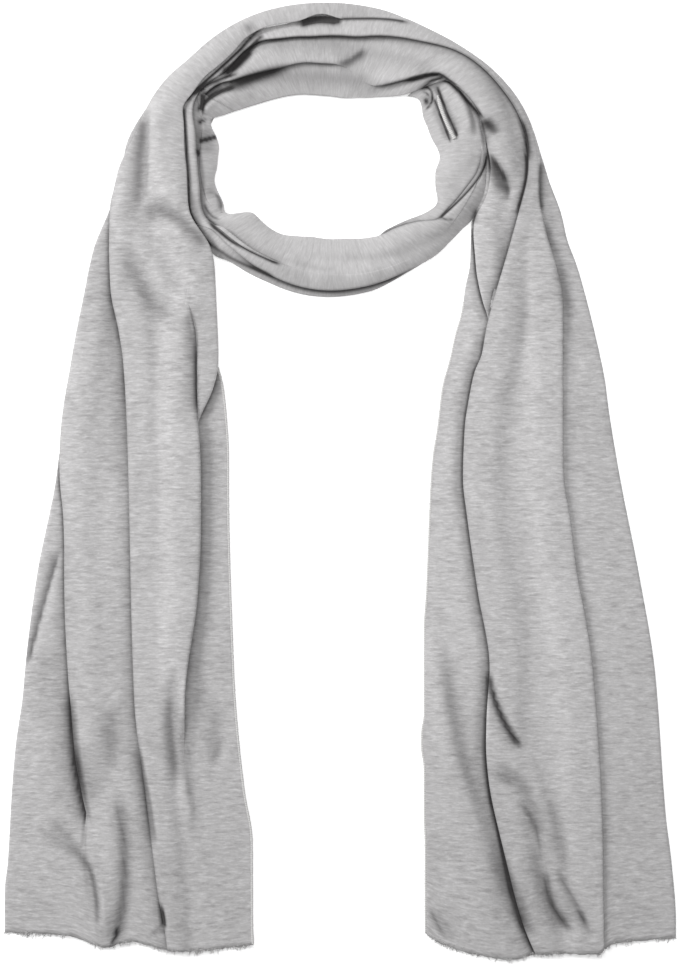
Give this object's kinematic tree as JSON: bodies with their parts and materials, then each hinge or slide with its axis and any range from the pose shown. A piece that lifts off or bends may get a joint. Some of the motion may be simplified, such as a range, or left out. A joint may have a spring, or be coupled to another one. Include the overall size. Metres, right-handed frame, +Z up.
{
  "type": "long scarf",
  "caption": "Long plain grey melange scarf, wound once round the neck opening and laid flat with both tails hanging down side by side.",
  "frame": {"origin": "middle of the laid-out scarf's outline, on the surface it lies on", "axes": "+Z up from the surface, +Y from the hems towards the top of the neck loop, +X towards the right tail as seen from above"},
  "size_m": [0.4368, 0.621, 0.0184],
  "materials": {
    "cloth": "soft grey melange weave, matt with a faint nap",
    "inner_cloth": "the same grey weave, inside the folded loop"
  },
  "bodies": {
    "root": {"left_tail": "cloth", "outer_arc": "cloth", "inner_right_fold": "cloth", "front_loop": "cloth", "left_gather": "cloth", "upper_loop": "cloth", "right_tail": "cloth", "hidden_layers": "inner_cloth"}
  },
  "joints": []
}
